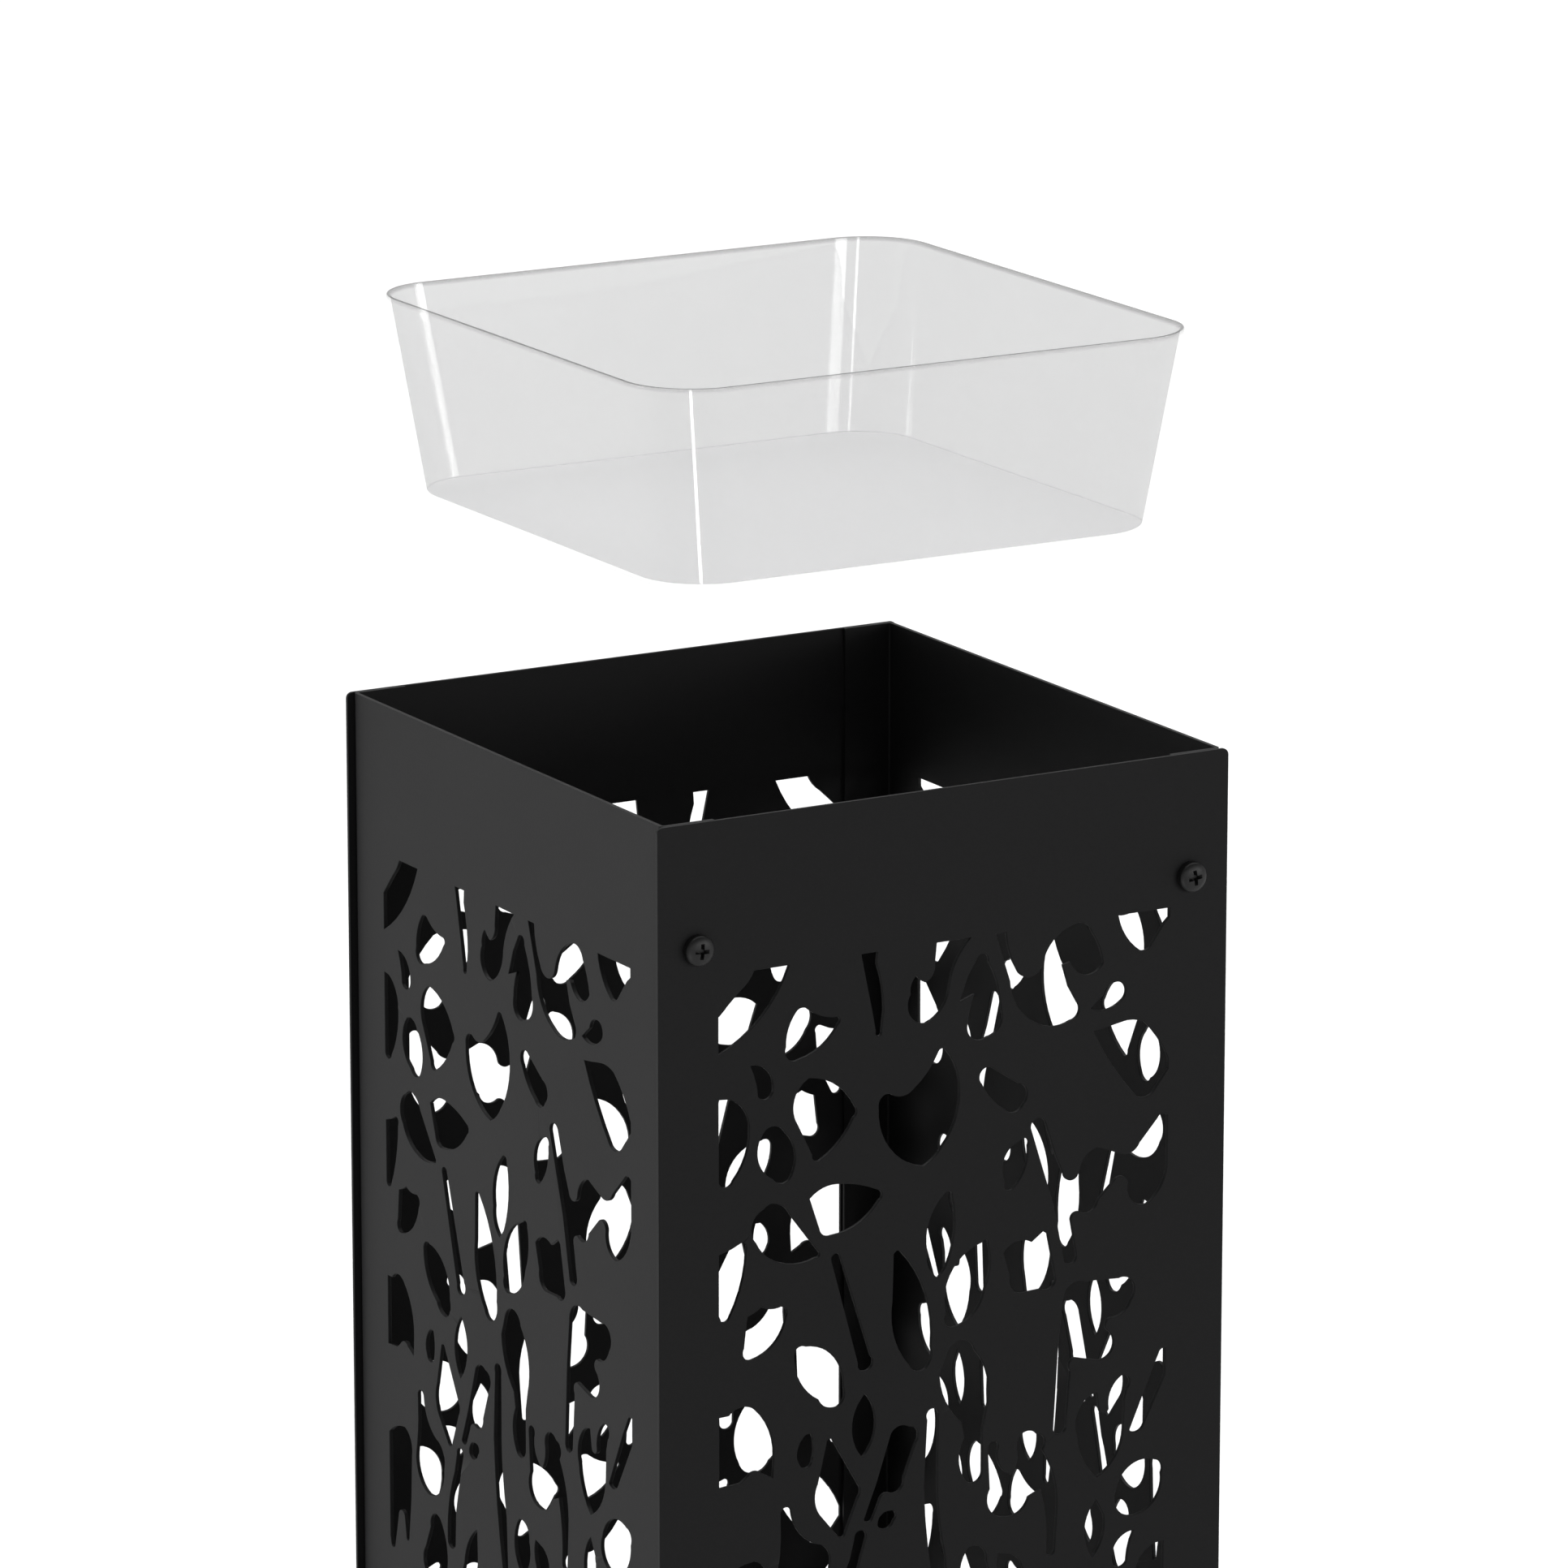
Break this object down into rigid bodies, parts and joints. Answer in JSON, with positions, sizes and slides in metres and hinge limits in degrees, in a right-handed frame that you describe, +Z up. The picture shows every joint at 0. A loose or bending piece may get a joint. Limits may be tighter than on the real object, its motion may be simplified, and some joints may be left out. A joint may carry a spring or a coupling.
{
  "type": "ashtray bin",
  "caption": "Slim square free-standing bin with laser-cut leaf pattern steel walls and a clear lift-out tray, shown lifted above the open mouth",
  "frame": {"origin": "on the ground, under the middle of the bin", "axes": "+Z up, the front faces -Y, +X to the right of someone facing the front"},
  "size_m": [0.155, 0.1575, 0.59],
  "materials": {
    "powder_coat": "satin black powder coat with a fine texture",
    "black_screw": "black coated steel, semi-gloss",
    "rubber": "matt black rubber",
    "clear_plastic": "clear glossy moulded plastic"
  },
  "bodies": {
    "bin": {"front_panel": "powder_coat", "back_panel": "powder_coat", "left_panel": "powder_coat", "right_panel": "powder_coat", "base_pan": "powder_coat", "foot_front_left": "rubber", "foot_back_left": "rubber", "foot_front_right": "rubber", "foot_back_right": "rubber", "screw_upper_left": "black_screw", "screw_lower_left": "black_screw", "screw_upper_right": "black_screw", "screw_lower_right": "black_screw", "clinch_nut_upper_left": "black_screw", "clinch_nut_lower_left": "black_screw", "clinch_nut_upper_right": "black_screw", "clinch_nut_lower_right": "black_screw"},
    "tray": {"tray": "clear_plastic"}
  },
  "joints": [
    {"name": "tray_lift", "type": "slide", "parent": "bin", "child": "tray", "axis": [0, 0, 1], "range_m": [-0.5343, 0]}
  ]
}
